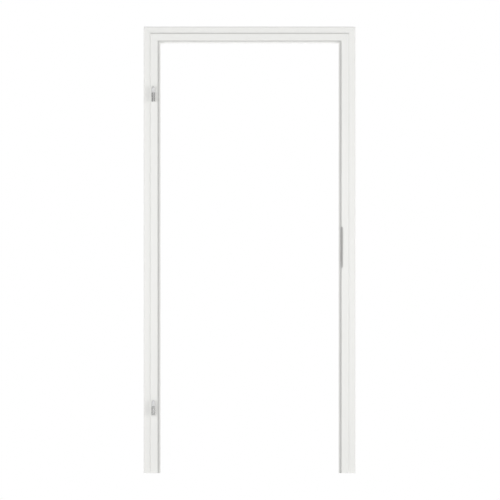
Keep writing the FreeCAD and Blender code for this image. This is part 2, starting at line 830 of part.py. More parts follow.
for corner, side in SIDES.items():
    starts = dowel_starts(side, "dowelLength / 2")
    dowels = [
        rod(f"dowel_{corner}_{n}", start, across_mitre(side), "dowelLength", "dowelRadius")
        for n, start in enumerate(starts)
    ]
    parts.append(group(f"lining_dowels_{corner}", dowels))

    x, z = mitre_point(side, DRAW_MIDDLE, f"-({DRAW_HALF} + barrelRadius) * {ROOT_HALF}")
    length = f"2 * ({DRAW_HALF} + barrelRadius)"
    shank = rod(f"draw_{corner}_shank", (x, DRAW_Y, z), across_mitre(side), length, "drawRadius")
    x, z = mitre_point(side, DRAW_MIDDLE, f"({DRAW_HALF} + barrelRadius) * {ROOT_HALF}")
    head = rod(f"draw_{corner}_head", (x, DRAW_Y, z), across_mitre(side), "drawHeadLength", "drawHeadRadius")
    parts.append(fuse(f"draw_bolt_{corner}", [shank, head]))

    barrels = []
    for n, shift in enumerate(("drawOffset", "-drawOffset")):
        x, z = mitre_point(side, DRAW_MIDDLE, shift)
        start = (x, f"{FACE} + rebateDepth - barrelLength - pocketClearance", z)
        blank = rod(f"barrel_{corner}_{n}_blank", start, "y", "barrelLength", "barrelRadius")
        x, z = mitre_point(side, DRAW_MIDDLE, f"-({DRAW_HALF} + 2 * barrelRadius) * {ROOT_HALF}")
        length = f"2 * ({DRAW_HALF} + 2 * barrelRadius)"
        bore = (x, DRAW_Y, z), across_mitre(side), length, "drawRadius + fitGap"
        barrels.append(cut(f"barrel_{corner}_{n}", blank, [rod(f"barrel_{corner}_{n}_bore", *bore)]))
    parts.append(group(f"draw_barrels_{corner}", barrels))

    plate = angle_plate(f"back_plate_{corner}_blank", side)
    holes = []
    screws = []
    for n, start in enumerate(angle_screw_places(side)):
        holes += countersink(f"back_plate_{corner}_{n}", start, "y", "anglePlateThickness")
        screws.append(screw(f"back_screw_{corner}_{n}", start, "y", "shortScrewLength"))
    parts.append(cut(f"back_plate_{corner}", plate, holes))
    parts.append(group(f"back_screws_{corner}", screws))


# Hinge halves

for level, height in HINGES.items():
    knuckle = turned(
        f"knuckle_{level}_barrel",
        [
            ("pinRadius + fitGap / 2", "0"),
            ("knuckleRadius - knuckleChamfer", "0"),
            ("knuckleRadius", "-knuckleChamfer"),
            ("knuckleRadius", "knuckleChamfer - knuckleHeight"),
            ("knuckleRadius - knuckleChamfer", "-knuckleHeight"),
            ("0", "-knuckleHeight"),
            ("0", f"-{PIN_SEAT}"),
            ("pinRadius + fitGap / 2", f"-{PIN_SEAT}"),
        ],
    )
    place(knuckle, HINGE_X, HINGE_Y, height)
    supports = []
    for n, sense in enumerate(("+", "-")):
        start = (
            HINGE_X,
            f"{HINGE_Y} + {SUPPORT_ROOT}",
            f"{height} - knuckleHeight / 2 {sense} supportSpacing / 2",
        )
        length = f"{SUPPORT_REACH} + knuckleGap + knuckleRadius - {SUPPORT_ROOT}"
        supports.append(rod(f"support_{level}_{n}", start, "y", length, "supportRadius"))
    parts.append(fuse(f"hinge_knuckle_{level}", [knuckle, *supports]))

    pin = turned(
        f"hinge_pin_{level}",
        [
            ("0", f"-{PIN_SEAT}"),
            ("pinRadius", f"-{PIN_SEAT}"),
            ("pinRadius", f"{PIN_RISE} - pinChamfer"),
            ("pinRadius - pinChamfer", PIN_RISE),
            ("0", PIN_RISE),
        ],
    )
    parts.append(place(pin, HINGE_X, HINGE_Y, height))

    bush = turned(
        f"hinge_bush_{level}",
        [
            ("pinRadius + bushClearance", "bushGap"),
            ("bushRadius + bushCollarRim", "bushGap"),
            ("bushRadius + bushCollarRim", "bushGap + bushCollarHeight"),
            ("bushRadius", "bushGap + bushCollarHeight"),
            ("bushRadius", "bushHeight - bushNoseHeight"),
            ("bushRadius - bushShoulderInset", "bushHeight - bushTipHeight"),
            ("bushRadius - bushTipInset", "bushHeight"),
            ("0", "bushHeight"),
            ("0", f"{PIN_RISE} + bushGap"),
            ("pinRadius + bushClearance", f"{PIN_RISE} + bushGap"),
        ],
    )
    parts.append(place(bush, HINGE_X, HINGE_Y, height))

    middle = f"{height} - knuckleHeight / 2"
    back = f"{FACE} + rebateDepth"
    boss = box(
        f"receiver_{level}_boss",
        (f"{HINGE_X} - receiverWidth / 2", f"{FACE} + receiverFromFace", f"{middle} - receiverHeight / 2"),
        (f"{HINGE_X} + receiverWidth / 2", back, f"{middle} + receiverHeight / 2"),
    )
    flange = box(
        f"receiver_{level}_flange",
        (f"{HINGE_X} - receiverWidth / 2", f"{back} - flangeThickness", f"{middle} - {FLANGE_HEIGHT} / 2"),
        (f"{HINGE_X} + receiverWidth / 2", back, f"{middle} + {FLANGE_HEIGHT} / 2"),
    )
    holes, clamps, screws = [], [], []
    for n, sense in enumerate(("+", "-")):
        at = f"{middle} {sense} supportSpacing / 2"
        start = (HINGE_X, f"{FACE} + receiverFromFace - {PAST}", at)
        reach = f"{SUPPORT_REACH} - receiverFromFace + {PAST} + supportClearance"
        holes.append(rod(f"receiver_{level}_bore_{n}", start, "y", reach, "supportRadius + supportClearance"))
        start = (f"{HINGE_X} + receiverWidth / 2 + {PAST}", f"{FACE} + clampDepth", at)
        reach = f"receiverWidth / 2 + {PAST}"
        holes.append(rod(f"receiver_{level}_clamp_{n}", start, "-x", reach, "clampRadius + fitGap"))
        start = (f"{HINGE_X} + supportRadius + fitGap + clampLength", f"{FACE} + clampDepth", at)
        clamps.append(rod(f"clamp_{level}_{n}", start, "-x", "clampLength", "clampRadius"))
        start = (HINGE_X, back, f"{middle} {sense} {FLANGE_SCREW}")
        holes += countersink(f"receiver_{level}_{n}", start, "-y", "flangeThickness")
        screws.append(screw(f"receiver_screw_{level}_{n}", start, "-y", "shortScrewLength"))
    body = fuse(f"receiver_{level}_blank", [boss, flange])
    parts.append(cut(f"hinge_receiver_{level}", body, holes))
    parts.append(group(f"clamp_screws_{level}", clamps))
    parts.append(group(f"receiver_screws_{level}", screws))


# Strike plate

holes, screws = [], []
for n, level in enumerate(STRIKE_SCREW_LEVELS):
    start = (STRIKE_X, STRIKE_SCREW_Y, level)
    holes += countersink(f"strike_{n}", start, "x", "strikeThickness")
    screws.append(screw(f"strike_screw_{n}", start, "x", "screwLength"))
parts.append(cut("strike_plate", strike_body("strike_blank"), holes))
parts.append(group("strike_screws", screws))


# Every object has to be sound before anything is written

document.recompute()
for item in document.Objects:
    if {"Invalid", "Error"} & set(item.State):
        raise RuntimeError(f"{item.Name} failed: {item.State}")
for item in parts:
    if item.Shape.isNull() or not item.Shape.isValid() or item.Shape.Volume <= 0:
        raise RuntimeError(f"{item.Label} has no sound solid")

os.makedirs("parts", exist_ok=True)
for item in parts:
    item.Shape.exportStep(f"parts/{item.Label}.step")
    print(f"{item.Label}: {len(item.Shape.Solids)} solid(s), {item.Shape.Volume / 1000:.1f} cm3")
print(f"{len(parts)} parts")
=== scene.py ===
# %% [markdown]
# A white door frame, dressed for its picture.
#
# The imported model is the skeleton: every board, hinge half and screw of the frame is already there at
# its real size. This file adds what CAD leaves out, which is the paint, the raw board on the wall side,
# the metal, a few turned and milled details, and the studio around them. Nothing is moved or resized.

import math

import bmesh
import bpy
from mathutils import Matrix, Vector


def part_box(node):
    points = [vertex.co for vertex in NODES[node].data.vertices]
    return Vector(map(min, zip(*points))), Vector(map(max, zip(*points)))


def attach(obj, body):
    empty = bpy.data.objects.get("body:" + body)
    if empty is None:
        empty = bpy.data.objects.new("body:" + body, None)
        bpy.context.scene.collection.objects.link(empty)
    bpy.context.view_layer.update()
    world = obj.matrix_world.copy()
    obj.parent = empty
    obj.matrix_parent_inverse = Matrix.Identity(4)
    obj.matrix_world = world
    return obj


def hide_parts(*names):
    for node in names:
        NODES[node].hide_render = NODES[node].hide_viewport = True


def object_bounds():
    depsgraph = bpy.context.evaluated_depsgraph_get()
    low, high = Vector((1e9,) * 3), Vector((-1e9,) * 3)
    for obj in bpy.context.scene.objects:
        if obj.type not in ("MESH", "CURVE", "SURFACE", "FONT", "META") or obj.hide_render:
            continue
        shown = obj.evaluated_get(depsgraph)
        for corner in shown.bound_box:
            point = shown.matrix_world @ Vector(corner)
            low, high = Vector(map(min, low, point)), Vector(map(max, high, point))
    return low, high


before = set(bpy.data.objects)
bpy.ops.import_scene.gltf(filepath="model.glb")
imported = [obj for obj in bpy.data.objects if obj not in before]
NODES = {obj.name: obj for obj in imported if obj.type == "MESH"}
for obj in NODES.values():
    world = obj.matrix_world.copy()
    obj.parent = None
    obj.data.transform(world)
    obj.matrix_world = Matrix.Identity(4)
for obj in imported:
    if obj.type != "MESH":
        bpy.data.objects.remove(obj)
CAD_BOX = [list(corner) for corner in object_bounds()]
print(f"{len(NODES)} nodes, box in metres {CAD_BOX}")

# %% [markdown]
# The section of a frame like this is drawn once and runs up the left jamb, across the head and down the
# right jamb. So two measures place any point of it: how far it lies outwards from the clear opening, and
# how far back from the front face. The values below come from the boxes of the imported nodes, so the
# finishes keep to the boards if the boards change.

# %% Measure the section
lining_low, lining_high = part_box("lining_left")
casing_low, casing_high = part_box("front_casing_left")

MM = 0.001
OPENING = -lining_high.x
CLEAR_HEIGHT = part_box("lining_head")[0].z
FACE = casing_low.y
REBATE = -casing_high.x - OPENING
print(f"opening {2 * OPENING:.3f} m wide and {CLEAR_HEIGHT:.3f} m high, rebate {REBATE / MM:.1f} mm wide")

# %% [markdown]
# The photograph is a straight view from the rebated side. Its verticals and horizontals stay parallel and
# no reveal shows, which is what an orthographic camera gives. One pixel is 4.5755 mm on the frame, so the
# picture is 2.29 m wide, and the frame's middle lies a little left of the picture's.

# %% Camera
PICTURE_SIDE = 500
PIXEL = 4.5755 * MM
FRAME_CENTRE_PIXEL = (249.56, 249.96)
CAMERA_DISTANCE = 4.0

middle = (Vector(CAD_BOX[0]) + Vector(CAD_BOX[1])) / 2
camera_data = bpy.data.cameras.new("camera")
camera_data.type = "ORTHO"
camera_data.ortho_scale = PICTURE_SIDE * PIXEL
camera = bpy.data.objects.new("camera", camera_data)
camera.location = (
    middle.x + (PICTURE_SIDE / 2 - FRAME_CENTRE_PIXEL[0]) * PIXEL,
    FACE - CAMERA_DISTANCE,
    middle.z - (PICTURE_SIDE / 2 - FRAME_CENTRE_PIXEL[1]) * PIXEL,
)
camera.rotation_euler = (math.radians(90), 0, 0)
bpy.context.scene.collection.objects.link(camera)
bpy.context.scene.camera = camera
bpy.context.scene.view_settings.view_transform = "Standard"
print(f"camera at {tuple(round(v, 3) for v in camera.location)}, {camera_data.ortho_scale:.3f} m across")

# %% [markdown]
# The studio. The picture's shading tells how it was lit: the strips beside the seals are dark on both
# jambs but light in the head, slopes that look up are the darkest, and the faces are brightest at half
# height. Two large softboxes far out to the left and right give that, with a small, weak one near the
# front. A dim room around them fills in, and it is what the metal mirrors, so the softboxes stay out of
# reflections.

# %% Softboxes
SOFTBOXES = {
    "softbox_left": {"place": (-6.0, 4.0, 1.4), "size": (2.4, 3.4), "watts": 143},
    "softbox_right": {"place": (6.0, 4.0, 1.4), "size": (2.4, 3.4), "watts": 154},
    "softbox_front": {"place": (0.0, 2.6, 1.15), "size": (1.2, 1.2), "watts": 9.5},
}

for name, settings in SOFTBOXES.items():
    light = bpy.data.lights.new(name, "AREA")
    light.shape = "RECTANGLE"
    light.size, light.size_y = settings["size"]
    light.energy = settings["watts"]
    softbox = bpy.data.objects.new(name, light)
    out, forward, height = settings["place"]
    softbox.location = (out, FACE - forward, height)
    towards = Vector((0, FACE, CLEAR_HEIGHT / 2)) - softbox.location
    softbox.rotation_euler = towards.to_track_quat("-Z", "Y").to_euler()
    softbox.visible_glossy = False
    bpy.context.scene.collection.objects.link(softbox)
print(f"{len(SOFTBOXES)} softboxes")

# %% [markdown]
# Light in a real studio also comes back from walls and ceiling, and metal mirrors them. A picture of a room
# could stand in for that, but a short sum is enough and easier to adjust: each of six directions has a
# brightness of its own, and a direction in between gets a share of each. The camera itself sees plain
# white, as in the photograph.
#
# A sum like this is a graph of nodes, and most nodes need the same three steps: make one, set some of its
# sockets, join it to others. `add` does all three. An input may be a plain value or another node's output.

# %% Helpers for node graphs


def add(tree, kind, inputs=(), **settings):
    """A new node with its settings. Inputs give a socket a value or another node's output."""
    node = tree.nodes.new(kind)
    for name, value in settings.items():
        setattr(node, name, value)
    for socket, value in dict(inputs).items():
        if isinstance(value, bpy.types.NodeSocket):
            tree.links.new(value, node.inputs[socket])
        else:
            node.inputs[socket].default_value = value
    return node


def math_node(tree, operation, first, second=0.0, third=0.0):
    """The result of one sum on numbers or outputs."""
    inputs = {0: first, 1: second, 2: third}
    return add(tree, "ShaderNodeMath", inputs, operation=operation).outputs[0]


print("node helpers ready")

# %% Room and background
# How bright the room is in each direction. A direction in between gets a share of each.
# Each direction is an axis, 0 for X to 2 for Z, and its sign.
ROOM = {
    (0, -1): 0.12,
    (0, 1): 0.30,
    (1, -1): 0.60,
    (1, 1): 0.75,
    (2, 1): 0.18,
    (2, -1): 0.02,
}

world = bpy.data.worlds.new("studio")
bpy.context.scene.world = world
world.use_nodes = True
room = world.node_tree
room.nodes.clear()
direction = add(room, "ShaderNodeTexCoord").outputs["Generated"]
axes = add(room, "ShaderNodeSeparateXYZ", {0: direction}).outputs
brightness = 0.0
for (axis, sign), value in ROOM.items():
    towards = math_node(room, "MAXIMUM", math_node(room, "MULTIPLY", axes[axis], sign), 0.0)
    share = math_node(room, "MULTIPLY", towards, towards)
    brightness = math_node(room, "MULTIPLY_ADD", share, value, brightness)
fill = add(room, "ShaderNodeBackground", {"Color": (1, 1, 1, 1), "Strength": brightness})
paper = add(room, "ShaderNodeBackground", {"Color": (1, 1, 1, 1), "Strength": 1.0})
seen = add(room, "ShaderNodeLightPath").outputs["Is Camera Ray"]
joined = add(room, "ShaderNodeMixShader", {0: seen, 1: fill.outputs[0], 2: paper.outputs[0]})
add(room, "ShaderNodeOutputWorld", {"Surface": joined.outputs[0]})
print("room set")

# %% [markdown]
# The frame stands on a wide white floor. From straight ahead it is seen edge on and doesn't show, but it
# throws light back up at the frame, and a view from above shows it. A plane does that as well as a curved
# sheet of paper would. It glows a little, so that it stays bright where the softboxes don't reach.
#
# Its paint is the first material. A material is a graph too, which ends in a shader, and its patterns are
# noises read at the point's own place in space, so no face has to be unwrapped.

# %% Helpers for materials


def mix_colour(tree, share, first, second):
    node = add(tree, "ShaderNodeMix", {"Factor": share, "A": first, "B": second}, data_type="RGBA")
    return node.outputs["Result"]


def noise(tree, place, scale, detail=3.0, roughness=0.5):
    inputs = {"Vector": place, "Scale": scale, "Detail": detail, "Roughness": roughness}
    return add(tree, "ShaderNodeTexNoise", inputs).outputs["Fac"]


def new_material(name, **sockets):
    """A material with its surface shader's constant sockets set. Gives material, tree and shader."""
    material = bpy.data.materials.new(name)
    material.use_nodes = True
    tree = material.node_tree
    shader = tree.nodes["Principled BSDF"]
    for socket, value in sockets.items():
        shader.inputs[socket.replace("_", " ")].default_value = value
    return material, tree, shader


def rest_place(tree):
    """Where a point is at rest, in metres. It moves with its piece."""
    return add(tree, "ShaderNodeTexCoord").outputs["Object"]


print("material helpers ready")

# %% Floor
FLOOR_SIDE = 60.0
FLOOR_DROP = 0.2 * MM
FLOOR_GLOW = 0.50
FLOOR_DARK = (0.80, 0.80, 0.80, 1)
FLOOR_LIGHT = (0.84, 0.84, 0.84, 1)
SQUARE = ((-1, -1), (1, -1), (1, 1), (-1, 1))

floor_mesh = bpy.data.meshes.new("floor")
reach = FLOOR_SIDE / 2
floor_mesh.from_pydata([(x * reach, y * reach, 0) for x, y in SQUARE], [], [(0, 1, 2, 3)])
floor = bpy.data.objects.new("floor", floor_mesh)
floor.location.z = -FLOOR_DROP
bpy.context.scene.collection.objects.link(floor)
floor_paint, tree, shader = new_material(
    "floor_paint",
    Roughness=0.7,
    Specular_IOR_Level=0.2,
    Emission_Color=(1, 1, 1, 1),
    Emission_Strength=FLOOR_GLOW,
)
speckle = noise(tree, rest_place(tree), scale=40.0)
tree.links.new(mix_colour(tree, speckle, FLOOR_DARK, FLOOR_LIGHT), shader.inputs["Base Color"])
floor_mesh.materials.append(floor_paint)
print("floor laid")

# %% [markdown]
# The boards are fibreboard under a white, silk-matt lacquer. The lacquer covers what one sees from a
# room; what touches the wall stays raw, so a side view looks into a channel of bare brown board. Two
# finishes on one board could be two meshes, but the boundary follows the section exactly, so the shader
# can find it: it works out how far outwards and how far back a point lies, and compares.

# %% Where a point lies in the section


def section_place(tree):
    """How far outwards, back and up a point lies, and a measure that is 0 on the mitre."""
    parts = add(tree, "ShaderNodeSeparateXYZ", {0: rest_place(tree)}).outputs
    across = math_node(tree, "SUBTRACT", math_node(tree, "ABSOLUTE", parts[0]), OPENING)
    above = math_node(tree, "SUBTRACT", parts[2], CLEAR_HEIGHT)
    outwards = math_node(tree, "MAXIMUM", across, above)
    back = math_node(tree, "SUBTRACT", parts[1], FACE)
    mitre = math_node(tree, "ABSOLUTE", math_node(tree, "SUBTRACT", across, above))
    return {"outwards": outwards, "back": back, "height": parts[2], "mitre": mitre}


def between(tree, value, low, high):
    """1 where the value lies between low and high, else 0."""
    above = math_node(tree, "GREATER_THAN", value, low)
    return math_node(tree, "MULTIPLY", above, math_node(tree, "LESS_THAN", value, high))


print("section helpers ready")

# %% [markdown]
# Bare fibreboard is brown and a little mottled: pressed fibres, with small chips among them. A picture of a
# board would repeat on pieces as long as these. Two noises and a cell pattern don't, and they run on round
# every edge.

# %% Bare board
CHIP_HEIGHT = 0.5


def ramp(tree, value, low, high, start=0.0, end=1.0):
    """The value stretched so that low gives start and high gives end, and held there beyond."""
    inputs = {"Value": value, "From Min": low, "From Max": high, "To Min": start, "To Max": end}
    return add(tree, "ShaderNodeMapRange", inputs).outputs["Result"]


def raw_board(tree, place):
    """Colour and height of bare board: pressed fibres and small chips."""
    chips = add(tree, "ShaderNodeTexVoronoi", {"Vector": place, "Scale": 420.0, "Randomness": 1.0})
    fibres = noise(tree, place, scale=900.0, detail=4.0, roughness=0.6)
    patches = noise(tree, place, scale=60.0, detail=2.0)
    tone = add(tree, "ShaderNodeSeparateXYZ", {0: chips.outputs["Color"]}).outputs[0]
    chip_colour = mix_colour(tree, tone, (0.40, 0.27, 0.16, 1), (0.58, 0.43, 0.28, 1))
    warm = mix_colour(tree, ramp(tree, patches, low=0.1, high=0.7), chip_colour, (0.50, 0.36, 0.23, 1))
    pale = ramp(tree, fibres, low=0.3, high=0.7, start=0.0, end=0.4)
    colour = mix_colour(tree, pale, warm, (0.62, 0.48, 0.33, 1))
    return colour, math_node(tree, "ADD", math_node(tree, "MULTIPLY", tone, CHIP_HEIGHT), fibres)


print("bare board ready")

# %% [markdown]
# Sprayed lacquer dries with a fine orange peel, which breaks up its gleam. The feet of the jambs are cut
# after it has dried, so they are bare, and where two boards meet in a mitre a thin dark line is left.
# Each of these is a matter of where a point lies, so one material can hold them all.

# %% Lacquered board
LACQUER = (0.83, 0.83, 0.81, 1)
LACQUER_SHADE = (0.81, 0.81, 0.79, 1)
BARE_FOOT = 0.1 * MM
MITRE_LINE = 0.12 * MM
JOINT = (0.10, 0.09, 0.08, 1)
JOINT_SHADE = 0.36
BOARD_ROUGHNESS = 0.85
PEEL_HEIGHT = 0.12


def bump(tree, shader, height, distance, strength):
    """Raises the surface by a height from 0 to 1, over a real distance in metres."""
    inputs = {"Height": height, "Distance": distance, "Strength": strength}
    tree.links.new(add(tree, "ShaderNodeBump", inputs).outputs["Normal"], shader.inputs["Normal"])


def lacquered_board(name, is_raw):
    """White lacquer with a fine orange peel, and bare board where is_raw(tree, section) says 1."""
    material, tree, shader = new_material(name)
    place = rest_place(tree)
    section = section_place(tree)
    foot = math_node(tree, "LESS_THAN", section["height"], BARE_FOOT)
    raw = math_node(tree, "MAXIMUM", is_raw(tree, section), foot)
    line = math_node(tree, "LESS_THAN", section["mitre"], MITRE_LINE)

    clouds = noise(tree, place, scale=6.0, detail=2.0)
    peel = noise(tree, place, scale=700.0, detail=2.0, roughness=0.4)
    lacquer = mix_colour(tree, clouds, LACQUER, LACQUER_SHADE)
    board, board_height = raw_board(tree, place)
    surface = mix_colour(tree, raw, lacquer, board)
    jointed = mix_colour(tree, math_node(tree, "MULTIPLY", line, JOINT_SHADE), surface, JOINT)
    tree.links.new(jointed, shader.inputs["Base Color"])

    sheen = ramp(tree, peel, low=0.3, high=0.7, start=0.34, end=0.44)
    roughness = add(tree, "ShaderNodeMix", {"Factor": raw, "A": sheen, "B": BOARD_ROUGHNESS})
    tree.links.new(roughness.outputs["Result"], shader.inputs["Roughness"])
    lacquer_height = math_node(tree, "SUBTRACT", math_node(tree, "MULTIPLY", peel, PEEL_HEIGHT), line)
    height = add(tree, "ShaderNodeMix", {"Factor": raw, "A": lacquer_height, "B": board_height})
    bump(tree, shader, height.outputs["Result"], distance=0.12 * MM, strength=0.5)
    return material


def give(material, *names):
    """Puts a finish on CAD nodes."""
    for name in names:
        NODES[name].data.materials[0] = material


print("lacquered board ready")

# %% [markdown]
# All nine boards get this lacquer, and each kind has its bare side elsewhere. A casing is coated on its
# face and round its long edges and bare inside. A lining is coated towards the opening and bare towards the
# wall. Three small rules say so, and a small margin keeps the bare patches off the coated edges.

# %% Finish the boards
PLACES = ("left", "right", "head")
LINING = -lining_low.x - OPENING
CASING_OUT = -casing_low.x - OPENING
BACK_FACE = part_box("back_casing_left")[1].y
SKIN = 9 * MM
LITTLE = 0.15 * MM


def casing_inside(tree, section, depth, inner_edge):
    """1 inside a casing's skin: behind its rounded edges, and off both long sides."""
    deep = math_node(tree, "GREATER_THAN", depth, SKIN)
    low = inner_edge + LITTLE
    high = CASING_OUT - LITTLE
    return math_node(tree, "MULTIPLY", deep, between(tree, section["outwards"], low, high))


def front_raw(tree, section):
    return casing_inside(tree, section, section["back"], REBATE)


def back_raw(tree, section):
    depth = math_node(tree, "SUBTRACT", BACK_FACE - FACE, section["back"])
    return casing_inside(tree, section, depth, LINING)


def lining_raw(tree, section):
    return math_node(tree, "GREATER_THAN", section["outwards"], LINING - LITTLE)


give(lacquered_board("lacquer_front", front_raw), *(f"front_casing_{where}" for where in PLACES))
give(lacquered_board("lacquer_back", back_raw), *(f"back_casing_{where}" for where in PLACES))
give(lacquered_board("lacquer_lining", lining_raw), *(f"lining_{where}" for where in PLACES))
print("nine boards finished")

# %% [markdown]
# The feathers are thin strips of the same board, coated on both sides, and the dowels are beech, with the
# grain along them. The seal is a soft hollow tube of light elastomer. It has no gloss to speak of, only a
# faint bloom. None of them shows much, so one noise for each is enough: even for coating and bloom, and
# drawn out along the dowel for the wood.

# %% Feathers, dowels and seals
DOWEL_TURN = math.radians(45)
DOWEL_GRAIN = 0.12


def plain_coating():
    material, tree, shader = new_material("strip_coating", Roughness=0.5)
    grain = noise(tree, rest_place(tree), scale=300.0)
    colour = mix_colour(tree, grain, (0.80, 0.80, 0.78, 1), (0.84, 0.84, 0.82, 1))
    tree.links.new(colour, shader.inputs["Base Color"])
    bump(tree, shader, grain, distance=0.03 * MM, strength=0.4)
    return material


def drawn_out(tree, place, factors):
    """The place squeezed by a factor on each axis. A noise there is drawn out along the squeezed axis."""
    return add(tree, "ShaderNodeVectorMath", {0: place, 1: factors}, operation="MULTIPLY").outputs[0]


def beech():
    material, tree, shader = new_material("beech_wood", Roughness=0.6)
    inputs = {"Vector": rest_place(tree), "Rotation": (0, DOWEL_TURN, 0)}
    along = add(tree, "ShaderNodeMapping", inputs).outputs[0]
    grain = drawn_out(tree, along, (1.0, 1.0, DOWEL_GRAIN))
    streaks = noise(tree, grain, scale=900.0, detail=4.0, roughness=0.6)
    colour = mix_colour(tree, streaks, (0.50, 0.32, 0.18, 1), (0.68, 0.49, 0.31, 1))
    tree.links.new(colour, shader.inputs["Base Color"])
    bump(tree, shader, streaks, distance=0.1 * MM, strength=0.4)
    return material


def soft_seal():
    material, tree, shader = new_material("seal_elastomer", Roughness=0.62, Specular_IOR_Level=0.3)
    bloom = noise(tree, rest_place(tree), scale=180.0, detail=3.0)
    colour = mix_colour(tree, bloom, (0.62, 0.62, 0.61, 1), (0.67, 0.67, 0.66, 1))
    tree.links.new(colour, shader.inputs["Base Color"])
    pores = noise(tree, rest_place(tree), scale=1500.0, detail=2.0)
    bump(tree, shader, pores, distance=0.02 * MM, strength=0.4)
    return material


give(plain_coating(), *(f"feather_{where}" for where in PLACES))
give(beech(), "lining_dowels_left", "lining_dowels_right")
give(soft_seal(), *(f"seal_{where}" for where in PLACES))
print("feathers, dowels and seals finished")

# %% [markdown]
# The hinge halves and the strike plate are steel with a satin nickel plating: darker than the lacquer,
# with a fine grain that runs the way the wheel ran. On the barrels that is round the axis, and on the
# plate along its length. Its lines are far finer than a pixel, so they aren't modelled. A noise that is
# drawn out along one axis stands for them: it mottles the tone and spreads the reflections.

# %% Satin metal
LEVELS = ("upper", "lower")
GRAIN_DRAW = 0.04
GRAIN_SHARE = 0.5
# How much rougher the dullest spots are than the brightest.
SATIN_SPREAD = 0.1


def satin_metal(name, dark, light, grain_axis, roughness):
    """Plated steel whose grain is drawn out along one axis, 0 for X to 2 for Z."""
    material, tree, shader = new_material(name, Metallic=1.0)
    squeeze = [1.0, 1.0, 1.0]
    squeeze[grain_axis] = GRAIN_DRAW
    drawn = drawn_out(tree, rest_place(tree), squeeze)
    grain = noise(tree, drawn, scale=2600.0, detail=3.0, roughness=0.6)
    cloud = noise(tree, rest_place(tree), scale=90.0, detail=2.0)
    clouded = math_node(tree, "MULTIPLY", cloud, 1 - GRAIN_SHARE)
    tone = math_node(tree, "MULTIPLY_ADD", grain, GRAIN_SHARE, clouded)
    colour = mix_colour(tree, ramp(tree, tone, low=0.3, high=0.7), dark, light)
    tree.links.new(colour, shader.inputs["Base Color"])
    dullness = ramp(tree, grain, low=0.3, high=0.7, start=roughness, end=roughness + SATIN_SPREAD)
    tree.links.new(dullness, shader.inputs["Roughness"])
    bump(tree, shader, grain, distance=0.02 * MM, strength=0.35)
    return material


hinge_metal = satin_metal(
    "hinge_nickel", (0.70, 0.70, 0.69, 1), (0.80, 0.80, 0.79, 1), grain_axis=0, roughness=0.17
)
strike_metal = satin_metal(
    "strike_nickel", (0.68, 0.68, 0.66, 1), (0.76, 0.76, 0.745, 1), grain_axis=2, roughness=0.30
)
for level in LEVELS:
    give(hinge_metal, f"hinge_knuckle_{level}", f"hinge_pin_{level}")
give(strike_metal, "strike_plate")
print("knuckles, pins and strike plate finished")

# %% [markdown]
# Zinc plating and castings are darker than the nickel and have no grain. Small crystals and the skin that a
# mould leaves give soft blotches instead, so the same shader gets a round noise.

# %% Zinc and cast metal
BLOTCHY_SPREAD = 0.15


def blotchy_metal(name, dark, light, scale, roughness):
    """Zinc plating or a casting: soft blotches and a slightly grainy skin."""
    material, tree, shader = new_material(name, Metallic=1.0)
    blotches = noise(tree, rest_place(tree), scale, detail=4.0, roughness=0.6)
    grain = noise(tree, rest_place(tree), scale=1800.0, detail=2.0)
    colour = mix_colour(tree, ramp(tree, blotches, low=0.35, high=0.65), dark, light)
    tree.links.new(colour, shader.inputs["Base Color"])
    dullness = ramp(tree, grain, low=0.3, high=0.7, start=roughness, end=roughness + BLOTCHY_SPREAD)
    tree.links.new(dullness, shader.inputs["Roughness"])
    bump(tree, shader, grain, distance=0.03 * MM, strength=0.5)
    return material


SIDES = ("left", "right")
zinc_metal = blotchy_metal(
    "zinc_plating", (0.56, 0.57, 0.56, 1), (0.70, 0.71, 0.70, 1), scale=500.0, roughness=0.30
)
cast_metal = blotchy_metal(
    "casting", (0.46, 0.47, 0.48, 1), (0.58, 0.59, 0.60, 1), scale=220.0, roughness=0.45
)
for level in LEVELS:
    give(cast_metal, f"hinge_receiver_{level}")
for side in SIDES:
    give(zinc_metal, f"draw_barrels_{side}", f"back_plate_{side}")
print("receivers, barrel nuts and corner plates finished")

# %% [markdown]
# The bushes of the hinges and all the screws are turned pieces, and a turned piece is a profile spun about
# an axis. A modifier could spin it. A lathe in code is short too, and it puts each point exactly where the
# profile says: rings of points, joined by faces.

# %% A lathe
FINE_SIDES = 64
SHARP_ANGLE = math.radians(32)


def lathe(name, profile, centre, sides=FINE_SIDES):
    """A mesh from (radius, height) points in millimetres, spun about an upright axis."""
    mesh = bpy.data.meshes.new(name)
    shape = bmesh.new()
    rings = []
    for radius, height in profile:
        count = sides if radius > 0 else 1
        turns = [2 * math.pi * n / count for n in range(count)]
        points = [Vector((radius * math.cos(a), radius * math.sin(a), height)) for a in turns]
        rings.append([shape.verts.new(centre + MM * point) for point in points])
    for lower, upper in zip(rings, rings[1:]):
        for n in range(sides):
            corners = [lower[n % len(lower)], lower[(n + 1) % len(lower)]]
            corners += [upper[(n + 1) % len(upper)], upper[n % len(upper)]]
            shape.faces.new(list(dict.fromkeys(corners)))
    bmesh.ops.recalc_face_normals(shape, faces=shape.faces)
    shape.to_mesh(mesh)
    shape.free()
    mesh.shade_smooth()
    mesh.set_sharp_from_angle(angle=SHARP_ANGLE)
    piece = bpy.data.objects.new(name, mesh)
    bpy.context.scene.collection.objects.link(piece)
    return piece


def arc(centre, radius, start, end, steps):
    """Points of an arc between two angles in degrees, as (radius, height) pairs."""
    angles = [math.radians(start + (end - start) * n / steps) for n in range(steps + 1)]
    return [(centre[0] + radius * math.cos(a), centre[1] + radius * math.sin(a)) for a in angles]


print("lathe ready")

# %% [markdown]
# The plastic is a hard, slippery kind that lets a little light in under its surface. The turning tool has
# left fine rings on it. They could be modelled, but at a fraction of a millimetre a sine wave up the axis,
# used as a bump, looks the same.

# %% Plastic for the bushes
TOOL_PITCH = 0.4 * MM
GLOW_DEPTH = 2 * MM


